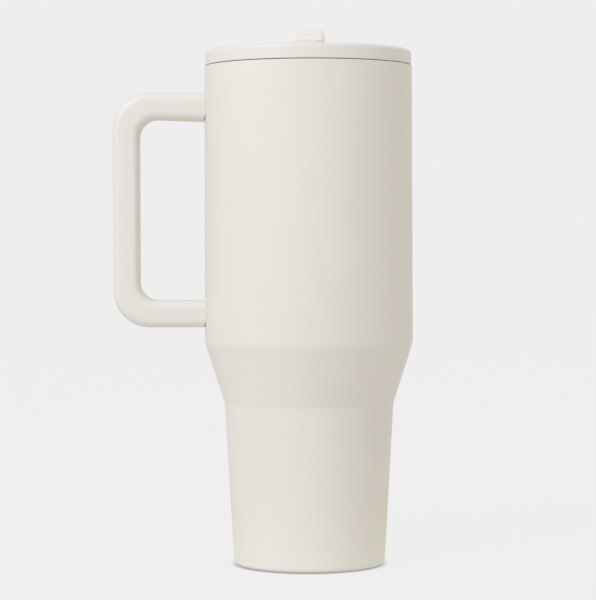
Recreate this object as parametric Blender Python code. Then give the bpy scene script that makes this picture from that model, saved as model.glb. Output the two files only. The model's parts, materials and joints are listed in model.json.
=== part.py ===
"""Vacuum-insulated steel tumbler with a side handle and a press-in flip-straw lid.

Metres, +Z up.  The origin is the centre of the base, on the table.  The handle points to -X and
the folded mouthpiece points to -Y.
"""
import math

import bmesh
import bpy
from mathutils import Matrix, Vector

MM = 0.001

# ---- driving dimensions, in millimetres -------------------------------------------------------
GAP = 0.3                     # room left between neighbouring pieces
PASS = 2.0                    # how far a cutter reaches past the surface it opens

BODY_R = 50.0                 # upper wall at the shoulder
RIM_R = 49.75                 # the wall draws in very slightly towards its rim
BODY_TOP = 239.25
SHOULDER_Z = 106.5            # where the upper wall meets the cone
NECK_R = 40.6                 # where the cone meets the lower taper
NECK_Z = 77.5
FOOT_R = 36.2                 # lower taper carried down to the base
SHOULDER_BEND = 20.0          # bend radii of the two creases and of the base corner
NECK_BEND = 10.0
FOOT_BEND = 3.5
SHELL_FOOT_Z = 0.6            # the pad holds the steel this far off the table
SHELL_T = 0.8
FOOT_RING_R = 31.3            # inside of the rolled foot ring
FOOT_RING_TOP = 3.0

JACKET = 4.1                  # outer wall's outside to the liner's inside
LINER_T = 0.8
LINER_FLOOR_Z = 9.0
LINER_BEND = 6.0
LIP_DEPTH = 1.2               # height of the liner's welded lip

PAD_R = 30.2
PAD_T = 1.7
CAP_Z = 2.2                   # underside of the base cap
CAP_T = 0.8
CAP_DIMPLE_R = 6.0
CAP_DIMPLE_H = 1.2
CAP_DIMPLE_SLOPE = 1.0
PORT_HOLE_R = 1.0             # vacuum port, closed by a bead
BEAD_R = 2.6
GETTER_R = 5.0
GETTER_H = 2.4
GETTER_X = 14.0

HANDLE_X = -93.6              # outer face of the grip
HANDLE_TOP = 226.8
HANDLE_BOTTOM = 114.4
HANDLE_LIMB = 12.4            # thickness of the grip, seen from the front
HANDLE_ARM = 12.8             # height of each arm
HANDLE_W = 18.6               # width across the hand
HANDLE_OUTER_BEND = 17.5
HANDLE_INNER_BEND_TOP = 8.0
HANDLE_INNER_BEND_BOTTOM = 6.5
ARM_SAG = 0.8                 # the upper arm is this much deeper at the body
ARM_ROOT = 4.0                # the arms start this deep inside the wall, then are cut to it
OUTER_EDGE = 4.0              # rounding of the handle's outer and inner edges
INNER_EDGE = 2.4
CHANNEL_W = 11.0              # hidden channel that opens towards the hand
CHANNEL_DEPTH = 7.5
COVER_T = 2.0
COVER_INSET = 0.1             # the cover sits just below the handle's inner face
TONGUE_T = 2.5
TONGUE_W = 9.0
TONGUE_END_X = -73.5
PAD_PLATE = (12.0, 9.0, 1.5)  # welded bracket plate: width, height, thickness
SCREW_XS = (-59.0, -68.0)
SCREW_R = 1.5
SCREW_LENGTH = 6.4
SCREW_HEAD_R = 2.7
SCREW_HEAD_H = 1.8
SCREW_RECESS = 1.0            # depth of the drive recess
SCREW_POINT = 1.0             # length of the tapered point
BRACKET_OFFSET = 0.6          # bracket plates sit this far above and below mid-arm

LID_R = 49.45
LID_BOTTOM = 239.6            # leaves a hairline seam above the body
LID_TOP = 246.8
LID_EDGE = 2.0
LID_PLATE_T = 2.4
LID_SKIRT_T = 2.2
LID_TURN = -1.5               # degrees about +Z: the lid is pressed in slightly turned
PLUG_R = 44.4
PLUG_T = 2.0
PLUG_BOTTOM = 226.0
FLANGE_H = 2.0
GASKET_Z = 232.5              # middle of the gasket and its groove
GASKET_H = 6.0
GROOVE_DEPTH = 1.4
GASKET_LIPS = 3

HINGE_Y = 24.0                # mouthpiece hinge, in the lid's own axes
HINGE_Z = 252.3
HUB_R = 5.0
HUB_HALF = 5.4
MOUTH_TOP = HINGE_Z + HUB_R
MOUTH_T = 5.2
TIP_HALF = 7.7
TIP_Y = -1.0
MOUTH_EDGE = 2.6
MOUTH_LOW_EDGE = 0.5
BAR_END = 8.4                 # the bar narrows to the hub between these distances
HUB_START = 5.8
VALVE_LENGTH = 11.7           # silicone bite valve over the end of the mouthpiece
VALVE_FRONT_T = 3.4
VALVE_CAVITY = (5.8, 2.1, 1.8)    # half width, half height and corner radius
NOZZLE = (5.5, 1.8, 1.5)      # the hard end inside the valve
NOZZLE_LENGTH = 6.5
CHANNEL = (2.6, 1.3, 1.2)     # drinking channel
SLIT = (3.2, 0.1)
EAR_IN = 5.7
EAR_OUT = 7.1
EAR_R = 4.9
PIN_R = 1.0
PIN_CLEARANCE = 0.1
PIN_SPAN = (3.4, 7.0)
ISLAND_HALF = 7.9
ISLAND_TOP = 251.75
ISLAND_FRONT = -3.2
ISLAND_BACK = 31.5
ISLAND_EDGE = 0.5
ISLAND_CORNERS = (2.0, 6.0)   # plan radii at the front and at the back
NOTCH = ((-4.3, 0.2), (6.2, -0.9), (7.1, 0.2))   # finger notch: x, rise over the cradle's top
NOTCH_BACK = -0.6
PORT_R = 2.8
PORT_TUBE_T = 2.2
SEAL_T = 2.0
SEAL_SEAT_DEPTH = 1.8

STRAW_R = 4.0
STRAW_T = 0.8
STRAW_BOTTOM = 13.5
NIPPLE_BOTTOM = 214.0
CONNECTOR_Z = (206.0, 222.0)
CONNECTOR_T = 1.3
VALVE_Y = 4.0                 # vent valve in the plug's floor
VALVE_HOLE_R = 1.6
VALVE_R = 4.0                 # its umbrella
VALVE_STEM_R = 1.3
VALVE_BARB_R = 2.1
VALVE_BARB_H = 2.2
VENT_Y = 14.0                 # vent hole under the mouthpiece
VENT_HOLE_R = 1.0
VENT_SEAT_R = 2.0             # disc of the plug that closes the vent hole
VENT_SEAT_DEPTH = 0.8
VENT_NUB_R = 0.6
VENT_NUB_REACH = 0.6

ROUND = 48                    # facets of the large turned pieces
SMALL_ROUND = 24
ARC_STEP = math.radians(30)   # finest turn of a bend; bends under SMALL_BEND are chamfers
SMALL_BEND = 1.0

CHANNEL_RISE = MOUTH_TOP - MOUTH_T / 2 - HINGE_Z    # drinking channel above the hinge
PORT_Y = HINGE_Y + CHANNEL_RISE                     # meets it when the mouthpiece stands up


# ---- materials --------------------------------------------------------------------------------
def make_material(name, colour, roughness, metallic=0.0):
    material = bpy.data.materials.new(name)
    material.use_nodes = True
    shader = material.node_tree.nodes["Principled BSDF"]
    shader.inputs["Base Color"].default_value = (*colour, 1.0)
    shader.inputs["Roughness"].default_value = roughness
    shader.inputs["Metallic"].default_value = metallic
    return material


def cream_coat():
    return make_material("cream_coat", (0.80, 0.77, 0.71), 0.55)


def cream_plastic():
    return make_material("cream_plastic", (0.80, 0.77, 0.71), 0.42)


def bare_steel():
    return make_material("bare_steel", (0.62, 0.61, 0.60), 0.28, 1.0)


def silicone():
    return make_material("silicone", (0.74, 0.71, 0.65), 0.70)


def straw_plastic():
    return make_material("straw_plastic", (0.86, 0.85, 0.82), 0.30)


# ---- outlines ---------------------------------------------------------------------------------
def rounded(corners, closed=True):
    """Polyline through (a, b, bend radius) corners, with an arc at each bend."""
    count = len(corners)
    points = []
    for index, (a, b, bend) in enumerate(corners):
        here = Vector((a, b))
        is_end = not closed and index in (0, count - 1)
        if bend <= 0.0 or is_end:
            points.append((a, b))
            continue
        before = Vector(corners[index - 1][:2]) - here
        after = Vector(corners[(index + 1) % count][:2]) - here
        before.normalize()
        after.normalize()
        half = before.angle(after) / 2
        reach = bend / math.tan(half)
        centre = here + (before + after).normalized() * (bend / math.sin(half))
        start = here + before * reach - centre
        sweep = start.angle_signed(here + after * reach - centre)
        steps = max(2, math.ceil(abs(sweep) / ARC_STEP)) if bend >= SMALL_BEND else 1
        for step in range(steps + 1):
            spoke = start.copy()
            spoke.rotate(Matrix.Rotation(-sweep * step / steps, 2))
            points.append(tuple(centre + spoke))
    return points


def arc(centre, radius, start, end, steps):
    """Points on an arc, angles in degrees."""
    points = []
    for step in range(steps + 1):
        angle = math.radians(start + (end - start) * step / steps)
        points.append((centre[0] + radius * math.cos(angle), centre[1] + radius * math.sin(angle)))
    return points


# ---- solids -----------------------------------------------------------------------------------
def finish(name, bm, material, parent=None, location=(0, 0, 0)):
    """Turn the bmesh, in millimetres, into a named object in metres."""
    bmesh.ops.remove_doubles(bm, verts=bm.verts, dist=1e-4)
    bmesh.ops.recalc_face_normals(bm, faces=bm.faces)
    bm.transform(Matrix.Scale(MM, 4))
    mesh = bpy.data.meshes.new(name)
    bm.to_mesh(mesh)
    bm.free()
    mesh.shade_smooth()
    mesh.set_sharp_from_angle(angle=math.radians(35))
    piece = bpy.data.objects.new(name, mesh)
    bpy.context.collection.objects.link(piece)
    if material:
        mesh.materials.append(material)
    if parent:
        piece.parent = parent
    piece.location = Vector(location) * MM
    return piece


def turned_mesh(outline, centre=(0.0, 0.0), segments=ROUND, closed=True):
    """Spin an (r, z) outline about the vertical through centre."""
    bm = bmesh.new()
    verts = [bm.verts.new((r, 0, z)) for r, z in outline]
    pairs = list(zip(verts, verts[1:]))
    if closed:
        pairs.append((verts[-1], verts[0]))
    edges = [bm.edges.new(pair) for pair in pairs]
    bmesh.ops.spin(bm, geom=verts + edges, cent=(0, 0, 0), axis=(0, 0, 1),
                   angle=2 * math.pi, steps=segments, use_merge=True)
    bmesh.ops.remove_doubles(bm, verts=bm.verts, dist=1e-4)
    bm.transform(Matrix.Translation((centre[0], centre[1], 0)))
    return bm


def turned(name, outline, material, parent=None, centre=(0, 0), segments=ROUND, closed=True):
    return finish(name, turned_mesh(outline, centre, segments, closed), material, parent)


def prism_mesh(outline, plane, low, high):
    """Extrude an outline drawn in the 'xy', 'xz' or 'yz' plane from low to high."""
    order = {"xy": (0, 1, 2), "xz": (0, 2, 1), "yz": (1, 2, 0)}[plane]
    bm = bmesh.new()
    verts = []
    for a, b in outline:
        place = [0.0, 0.0, 0.0]
        place[order[0]] = a
        place[order[1]] = b
        place[order[2]] = low
        verts.append(bm.verts.new(place))
    face = bm.faces.new(verts)
    grown = bmesh.ops.extrude_face_region(bm, geom=[face])
    moved = [item for item in grown["geom"] if isinstance(item, bmesh.types.BMVert)]
    shift = [0.0, 0.0, 0.0]
    shift[order[2]] = high - low
    bmesh.ops.translate(bm, verts=moved, vec=shift)
    return bm


def prism(name, outline, plane, low, high, material=None, parent=None):
    return finish(name, prism_mesh(outline, plane, low, high), material, parent)


def box(name, low, high, material=None, parent=None):
    outline = [(low[0], low[1]), (high[0], low[1]), (high[0], high[1]), (low[0], high[1])]
    return prism(name, outline, "xy", low[2], high[2], material, parent)


def rod(name, radius, low, high, centre, plane="xy", segments=SMALL_ROUND, material=None,
        parent=None):
    """A round bar; its axis is square to the plane and passes through centre."""
    outline = arc(centre, radius, 0, 360, segments)[:-1]
    return prism(name, outline, plane, low, high, material, parent)


def combine(target, tools, operation):
    """Join tools to the target or cut them out of it, and hide them."""
    for tool in tools:
        tool.hide_render = True
        tool.display_type = "WIRE"
        step = target.modifiers.new(operation.lower() + "_" + tool.name, "BOOLEAN")
        step.operation = operation
        step.solver = "EXACT"
        step.object = tool


# ---- steel body -------------------------------------------------------------------------------
def wall_line(inset, foot_z, top_z, shoulder_bend, neck_bend):
    """Corners of the body's side, moved inwards, from the foot up to the rim."""
    foot_r = FOOT_R + (NECK_R - FOOT_R) * foot_z / NECK_Z
    return [(foot_r - inset, foot_z), (NECK_R - inset, NECK_Z, neck_bend),
            (BODY_R - inset, SHOULDER_Z, shoulder_bend), (RIM_R - inset, top_z)]


def build_outer_shell(coat):
    foot, neck, shoulder, rim = wall_line(0, SHELL_FOOT_Z, BODY_TOP, SHOULDER_BEND, NECK_BEND)
    in_foot, in_neck, in_shoulder, in_rim = wall_line(
        SHELL_T, SHELL_FOOT_Z + SHELL_T, BODY_TOP, SHOULDER_BEND + SHELL_T, NECK_BEND - SHELL_T)
    corners = [
        (FOOT_RING_R, SHELL_FOOT_Z, 0.6), (*foot, FOOT_BEND), neck, shoulder, (*rim, 0.3),
        (*in_rim, 0.0), in_shoulder, in_neck, (*in_foot, FOOT_BEND - SHELL_T),
        (FOOT_RING_R + SHELL_T, SHELL_FOOT_Z + SHELL_T, 0.0),
        (FOOT_RING_R + SHELL_T, FOOT_RING_TOP, 0.0), (FOOT_RING_R, FOOT_RING_TOP, 0.0)]
    turned("outer_shell", rounded(corners), coat)


def build_inner_liner(steel):
    foot, neck, shoulder, rim = wall_line(
        JACKET, LINER_FLOOR_Z, BODY_TOP, SHOULDER_BEND, NECK_BEND)
    outset = JACKET - LINER_T
    out_foot, out_neck, out_shoulder, out_rim = wall_line(
        outset, LINER_FLOOR_Z - LINER_T, BODY_TOP - LIP_DEPTH, SHOULDER_BEND, NECK_BEND)
    lip_r = RIM_R - SHELL_T - GAP
    corners = [
        (0, LINER_FLOOR_Z - LINER_T, 0.0), (*out_foot, LINER_BEND + LINER_T), out_neck,
        out_shoulder, (*out_rim, 0.0), (lip_r, BODY_TOP - LIP_DEPTH, 0.0),
        (lip_r, BODY_TOP, 0.3), (*rim, 0.4), shoulder, neck, (*foot, LINER_BEND),
        (0, LINER_FLOOR_Z, 0.0)]
    turned("inner_liner", rounded(corners, closed=False), steel, closed=False)


def build_base(steel, rubber):
    """Base cap with its vacuum port, the bead that seals it, and the pad that hides both."""
    top = CAP_Z + CAP_T
    cap_r = FOOT_RING_R - GAP
    inner_r = CAP_DIMPLE_R - CAP_T / 2
    outline = [
        (PORT_HOLE_R, CAP_Z + CAP_DIMPLE_H), (CAP_DIMPLE_R, CAP_Z + CAP_DIMPLE_H),
        (CAP_DIMPLE_R + CAP_DIMPLE_SLOPE, CAP_Z), (cap_r, CAP_Z), (cap_r, top),
        (inner_r + CAP_DIMPLE_SLOPE, top), (inner_r, top + CAP_DIMPLE_H),
        (PORT_HOLE_R, top + CAP_DIMPLE_H)]
    turned("base_cap", outline, steel)
    stem_r = PORT_HOLE_R - GAP
    bead_low = PAD_T + GAP
    bead_top = CAP_Z + CAP_DIMPLE_H - GAP
    bead = [(0, bead_low), (BEAD_R - 0.6, bead_low), (BEAD_R, bead_top), (stem_r, bead_top),
            (stem_r, top + CAP_DIMPLE_H), (0, top + CAP_DIMPLE_H)]
    turned("vacuum_port_seal", bead, make_material("seal_bead", (0.35, 0.33, 0.31), 0.35, 0.4),
           segments=SMALL_ROUND, closed=False)
    pad = rounded([(0, 0, 0.0), (PAD_R, 0, 0.5), (PAD_R, PAD_T, 0.3), (0, PAD_T, 0.0)],
                  closed=False)
    turned("base_pad", pad, rubber, closed=False)
    getter_top = LINER_FLOOR_Z - LINER_T - GAP
    getter_low = getter_top - GETTER_H
    getter = [(0, getter_low), (GETTER_R - 0.8, getter_low), (GETTER_R, getter_low + 0.8),
              (GETTER_R, getter_top), (0, getter_top)]
    turned("getter", getter, make_material("getter", (0.30, 0.30, 0.31), 0.6, 0.6),
           centre=(GETTER_X, 0.0), segments=SMALL_ROUND, closed=False)


# ---- handle -----------------------------------------------------------------------------------
def handle_line(depth, end_x, bend_top, bend_bottom):
    """The C of the handle, drawn depth millimetres outside its inner face."""
    x = HANDLE_X + HANDLE_LIMB - depth
    top = HANDLE_TOP - HANDLE_ARM + depth
    bottom = HANDLE_BOTTOM + HANDLE_ARM - depth
    return rounded([(end_x, top - ARM_SAG, 0.0), (x, top, bend_top + depth),
                    (x, bottom, bend_bottom + depth), (end_x, bottom, 0.0)], closed=False)


def handle_outer_line(end_x):
    return rounded([(end_x, HANDLE_BOTTOM, 0.0), (HANDLE_X, HANDLE_BOTTOM, HANDLE_OUTER_BEND),
                    (HANDLE_X, HANDLE_TOP, HANDLE_OUTER_BEND), (end_x, HANDLE_TOP, 0.0)],
                   closed=False)


def loop_of_edges(bm, path, y):
    """Edges of bm that run along the path at the given side."""
    on_path = set()
    for vert in bm.verts:
        if abs(vert.co.y - y) > 1e-4:
            continue
        if any(math.hypot(vert.co.x - x, vert.co.z - z) < 1e-3 for x, z in path):
            on_path.add(vert)
    return [edge for edge in bm.edges
            if edge.verts[0] in on_path and edge.verts[1] in on_path]


def wall_cutter(name):
    """Solid round that trims the arms and brackets to the body's wall."""
    low = HANDLE_BOTTOM - 10 * PASS
    high = HANDLE_TOP + 10 * PASS
    outline = [(0, low), (BODY_R + GAP, low), (BODY_R + GAP, high), (0, high)]
    return turned(name, outline, None, closed=False)


def build_handle_body(plastic):
    end_x = -BODY_R + ARM_ROOT
    inner = handle_line(0.0, end_x, HANDLE_INNER_BEND_TOP, HANDLE_INNER_BEND_BOTTOM)
    outer = handle_outer_line(end_x)
    half = HANDLE_W / 2
    bm = prism_mesh(inner + outer, "xz", -half, half)
    for path, edge_radius, steps in ((outer, OUTER_EDGE, 3), (inner, INNER_EDGE, 2)):
        for side in (-half, half):
            bmesh.ops.bevel(bm, geom=loop_of_edges(bm, path, side), offset=edge_radius,
                            offset_type="OFFSET", segments=steps, profile=0.5, affect="EDGES")
    body = finish("handle_body", bm, plastic)
    cut_x = end_x + PASS
    channel_inner = handle_line(-PASS, cut_x, HANDLE_INNER_BEND_TOP, HANDLE_INNER_BEND_BOTTOM)
    channel_outer = handle_line(CHANNEL_DEPTH, cut_x, HANDLE_INNER_BEND_TOP,
                                HANDLE_INNER_BEND_BOTTOM)
    cutters = [
        wall_cutter("cutter_body_round"),
        prism("cutter_channel", channel_inner + channel_outer[::-1], "xz", -CHANNEL_W / 2,
              CHANNEL_W / 2)]
    width, height, thick = PAD_PLATE
    for name, middle, sense in arm_sides():
        cutters.append(box("cutter_plate_" + name,
                           (-BODY_R - thick - 3 * GAP, -width / 2 - 2 * GAP,
                            middle - height / 2 - 2 * GAP),
                           (cut_x, width / 2 + 2 * GAP, middle + height / 2 + 2 * GAP)))
        ceiling = arm_ceiling(name)
        for index, x in enumerate(SCREW_XS):
            tip = ceiling + sense * (SCREW_LENGTH - TONGUE_T)
            start = ceiling - sense * PASS / 2
            cutters.append(rod("cutter_screw_%s_%d" % (name, index), SCREW_R + GAP,
                               min(start, tip), max(start, tip), (x, 0), segments=16))
    combine(body, cutters, "DIFFERENCE")


def arm_sides():
    """Name, middle height and outward sense of each arm's bracket."""
    return (("upper", HANDLE_TOP - HANDLE_ARM / 2 + BRACKET_OFFSET, 1),
            ("lower", HANDLE_BOTTOM + HANDLE_ARM / 2 - BRACKET_OFFSET, -1))


def arm_ceiling(name):
    """Height of the channel's bottom inside an arm."""
    if name == "upper":
        return HANDLE_TOP - HANDLE_ARM + CHANNEL_DEPTH - ARM_SAG
    return HANDLE_BOTTOM + HANDLE_ARM - CHANNEL_DEPTH


def build_handle_cover(plastic):
    end_x = -BODY_R - 2 * GAP
    inner = handle_line(COVER_INSET, end_x, HANDLE_INNER_BEND_TOP, HANDLE_INNER_BEND_BOTTOM)
    outer = handle_line(COVER_T, end_x, HANDLE_INNER_BEND_TOP, HANDLE_INNER_BEND_BOTTOM)
    half = CHANNEL_W / 2 - GAP
    prism("handle_cover", inner + outer[::-1], "xz", -half, half, plastic)


def build_brackets(steel):
    """Welded steel brackets inside the arms, and the screws that hold the handle to them."""
    width, height, thick = PAD_PLATE
    root_x = -BODY_R + PASS
    for name, middle, sense in arm_sides():
        back = arm_ceiling(name) - sense * GAP
        face = back - sense * TONGUE_T
        low = min(back, face)
        high = max(back, face)
        bracket = box("bracket_" + name, (TONGUE_END_X, -TONGUE_W / 2, low),
                      (root_x, TONGUE_W / 2, high), steel)
        plate = box("joiner_plate_" + name,
                    (-BODY_R - thick - GAP, -width / 2, middle - height / 2),
                    (root_x, width / 2, middle + height / 2))
        combine(bracket, [plate], "UNION")
        cuts = [wall_cutter("cutter_round_" + name)]
        for index, x in enumerate(SCREW_XS):
            cuts.append(rod("cutter_hole_%s_%d" % (name, index), SCREW_R + GAP, low - PASS,
                            high + PASS, (x, 0), segments=16))
        combine(bracket, cuts, "DIFFERENCE")
        for index, x in enumerate(SCREW_XS):
            build_screw("handle_screw_%s_%d" % (name, index + 1), x, face - sense * GAP, sense,
                        steel)


def build_screw(name, x, seat, sense, steel):
    """Pan-head screw: head below the seat, shank through the tongue into the handle."""
    head = seat - sense * SCREW_HEAD_H
    tip = seat + sense * SCREW_LENGTH
    recess = head + sense * SCREW_RECESS
    outline = [(0, recess), (SCREW_HEAD_R * 0.40, recess), (SCREW_HEAD_R * 0.48, head),
               (SCREW_HEAD_R * 0.78, head), (SCREW_HEAD_R, head + sense * SCREW_HEAD_H * 0.4),
               (SCREW_HEAD_R, seat), (SCREW_R, seat), (SCREW_R, tip - sense * SCREW_POINT),
               (SCREW_R * 0.4, tip), (0, tip)]
    turned(name, outline, steel, centre=(x, 0), segments=16, closed=False)


# ---- lid --------------------------------------------------------------------------------------
def build_lid_cover(plastic, lid):
    plate_under = LID_TOP - LID_PLATE_T
    corners = [
        (0, LID_TOP, 0.0), (LID_R, LID_TOP, LID_EDGE), (LID_R, LID_BOTTOM, 0.4),
        (LID_R - LID_SKIRT_T, LID_BOTTOM, 0.3), (LID_R - LID_SKIRT_T, plate_under, 0.5),
        (0, plate_under, 0.0)]
    cover = turned("lid_cover", rounded(corners, closed=False), plastic, lid, closed=False)
    front, back = ISLAND_CORNERS
    plan = rounded([(-ISLAND_HALF, ISLAND_FRONT, front), (ISLAND_HALF, ISLAND_FRONT, front),
                    (ISLAND_HALF, ISLAND_BACK, back), (-ISLAND_HALF, ISLAND_BACK, back)])
    bm = prism_mesh(plan, "xy", LID_TOP - LID_PLATE_T / 2, ISLAND_TOP)
    rim = [edge for edge in bm.edges
           if all(vert.co.z > ISLAND_TOP - 1e-4 for vert in edge.verts)]
    bmesh.ops.bevel(bm, geom=rim, offset=ISLAND_EDGE, offset_type="OFFSET", segments=2,
                    profile=0.5, affect="EDGES")
    joined = [finish("joiner_island", bm, None, lid)]
    ear_root = LID_TOP - LID_PLATE_T / 4
    ear = [(HINGE_Y - EAR_R, ear_root)]
    ear += arc((HINGE_Y, HINGE_Z), EAR_R, 180, 0, 12)
    ear += [(HINGE_Y + EAR_R, ear_root)]
    for side in (-1, 1):
        ends = sorted((side * (EAR_IN - PASS / 4), side * EAR_OUT))
        joined.append(prism("joiner_ear_%d" % (side + 1), ear, "yz", ends[0], ends[1], None,
                            lid))
    combine(cover, joined, "UNION")
    well = arc((HINGE_Y, HINGE_Z), HUB_R + GAP, 0, -180, 12)
    well += [(HINGE_Y - HUB_R - GAP, MOUTH_TOP + PASS),
             (HINGE_Y + HUB_R + GAP, MOUTH_TOP + PASS)]
    cuts = [
        prism("cutter_hub_well", well, "yz", -EAR_IN, EAR_IN, None, lid),
        rod("cutter_port", PORT_R, plate_under - PASS, HINGE_Z, (0, PORT_Y), parent=lid),
        rod("cutter_seal_seat", PORT_R + SEAL_T + GAP, LID_TOP - SEAL_SEAT_DEPTH,
            HINGE_Z - PASS / 2, (0, PORT_Y), parent=lid),
        rod("cutter_vent", VENT_HOLE_R, plate_under - PASS, ISLAND_TOP + PASS, (0, VENT_Y),
            segments=12, parent=lid),
        prism("cutter_notch", [(x, ISLAND_TOP + rise) for x, rise in NOTCH], "xz",
              ISLAND_FRONT - PASS, NOTCH_BACK, None, lid),
        rod("cutter_pin", PIN_R + PIN_CLEARANCE, -EAR_OUT - PASS, EAR_OUT + PASS,
            (HINGE_Y, HINGE_Z), "yz", segments=16, parent=lid)]
    combine(cover, cuts, "DIFFERENCE")


def build_lid_plug(plastic, rubber, lid):
    """The inner half of the lid, pushed into the mouth, with its gasket and its vent valve."""
    top = LID_TOP - LID_PLATE_T - GAP
    flange_r = LID_R - LID_SKIRT_T - GAP
    flange_top = LID_BOTTOM + FLANGE_H
    groove_low = GASKET_Z - GASKET_H / 2 - GAP
    groove_high = GASKET_Z + GASKET_H / 2 + GAP
    groove_r = PLUG_R - GROOVE_DEPTH
    inside = PLUG_R - GROOVE_DEPTH - PLUG_T
    corners = [
        (0, PLUG_BOTTOM, 0.0), (PLUG_R, PLUG_BOTTOM, 1.6), (PLUG_R, groove_low, 0.0),
        (groove_r, groove_low, 0.0), (groove_r, groove_high, 0.0), (PLUG_R, groove_high, 0.0),
        (PLUG_R, LID_BOTTOM, 0.0), (flange_r, LID_BOTTOM, 0.0), (flange_r, flange_top, 0.4),
        (PLUG_R, flange_top, 0.0), (PLUG_R, top, 0.0), (inside, top, 0.0),
        (inside, PLUG_BOTTOM + PLUG_T, 1.0), (0, PLUG_BOTTOM + PLUG_T, 0.0)]
    plug = turned("lid_plug", rounded(corners, closed=False), plastic, lid, closed=False)
    tube = rod("joiner_port_tube", PORT_R + PORT_TUBE_T, PLUG_BOTTOM + PLUG_T / 4, top,
               (0, PORT_Y), parent=lid)
    nipple = rod("joiner_nipple", STRAW_R, NIPPLE_BOTTOM, PLUG_BOTTOM + PLUG_T / 2,
                 (0, PORT_Y), parent=lid)
    combine(plug, [tube, nipple], "UNION")
    bore = rod("cutter_port_bore", PORT_R, NIPPLE_BOTTOM - PASS, top + PASS, (0, PORT_Y),
               parent=lid)
    vent = rod("cutter_valve_hole", VALVE_HOLE_R, PLUG_BOTTOM - PASS,
               PLUG_BOTTOM + PLUG_T + PASS, (0, VALVE_Y), segments=16, parent=lid)
    combine(plug, [bore, vent], "DIFFERENCE")

    lip_r = RIM_R - JACKET - GAP
    root_r = groove_r + GAP
    waist_r = PLUG_R - 0.2
    low = GASKET_Z - GASKET_H / 2
    pitch = GASKET_H / GASKET_LIPS
    gasket = [(root_r, low), (waist_r, low)]
    for lip in range(GASKET_LIPS):
        z = low + pitch * lip
        gasket += [(waist_r, z + 0.15 * pitch), (lip_r, z + 0.55 * pitch),
                   (lip_r, z + 0.70 * pitch), (waist_r, z + 0.85 * pitch)]
    gasket += [(waist_r, low + GASKET_H), (root_r, low + GASKET_H)]
    turned("lid_gasket", gasket, rubber, lid)

    floor_low = PLUG_BOTTOM - GAP
    barb_low = PLUG_BOTTOM + PLUG_T + GAP
    barb_top = barb_low + VALVE_BARB_H
    valve = [(0, floor_low - 1.2), (VALVE_R * 0.65, floor_low - 1.0),
             (VALVE_R, floor_low - 0.3), (VALVE_R, floor_low), (VALVE_STEM_R, floor_low),
             (VALVE_STEM_R, barb_low), (VALVE_BARB_R, barb_low), (VALVE_STEM_R, barb_top),
             (0, barb_top)]
    turned("vent_valve", valve, rubber, lid, centre=(0, VALVE_Y), segments=SMALL_ROUND,
           closed=False)


def build_straw(plastic, rubber, lid):
    inside = STRAW_R - STRAW_T
    tube = [(inside, STRAW_BOTTOM), (STRAW_R, STRAW_BOTTOM), (STRAW_R, NIPPLE_BOTTOM - 2 * GAP),
            (inside, NIPPLE_BOTTOM - 2 * GAP)]
    turned("straw", tube, plastic, lid, centre=(0, PORT_Y), segments=SMALL_ROUND)
    low, high = CONNECTOR_Z
    outer = STRAW_R + GAP + CONNECTOR_T
    sleeve = rounded([(STRAW_R + GAP, low, 0.0), (outer, low, 0.5), (outer, high, 0.5),
                      (STRAW_R + GAP, high, 0.0)])
    turned("straw_connector", sleeve, rubber, lid, centre=(0, PORT_Y), segments=SMALL_ROUND)


# ---- mouthpiece -------------------------------------------------------------------------------
def bar_section(half, y):
    """Rounded section of the mouthpiece bar, seen from its tip, about the hinge."""
    top = MOUTH_TOP - HINGE_Z
    low = top - MOUTH_T
    corners = [(-half, low, MOUTH_LOW_EDGE), (half, low, MOUTH_LOW_EDGE),
               (half, top, MOUTH_EDGE), (-half, top, MOUTH_EDGE)]
    return [(x, y, z) for x, z in rounded(corners)]


def slot_outline(half_w, half_h, bend):
    """Rounded slot at the height of the drinking channel, about the hinge."""
    low = CHANNEL_RISE - half_h
    high = CHANNEL_RISE + half_h
    return rounded([(-half_w, low, bend), (half_w, low, bend), (half_w, high, bend),
                    (-half_w, high, bend)])


def bar(name, stations, material, hinge):
    """Solid through rounded sections at (half width, y) stations."""
    bm = bmesh.new()
    loops = []
    for index, (half, y) in enumerate(stations):
        verts = [bm.verts.new(point) for point in bar_section(half, y)]
        loops.append([bm.edges.new((verts[i - 1], verts[i])) for i in range(len(verts))])
        if index in (0, len(stations) - 1):
            bm.faces.new(verts)
    for near, far in zip(loops, loops[1:]):
        bmesh.ops.bridge_loops(bm, edges=near + far)
    return finish(name, bm, material, hinge)


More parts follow.
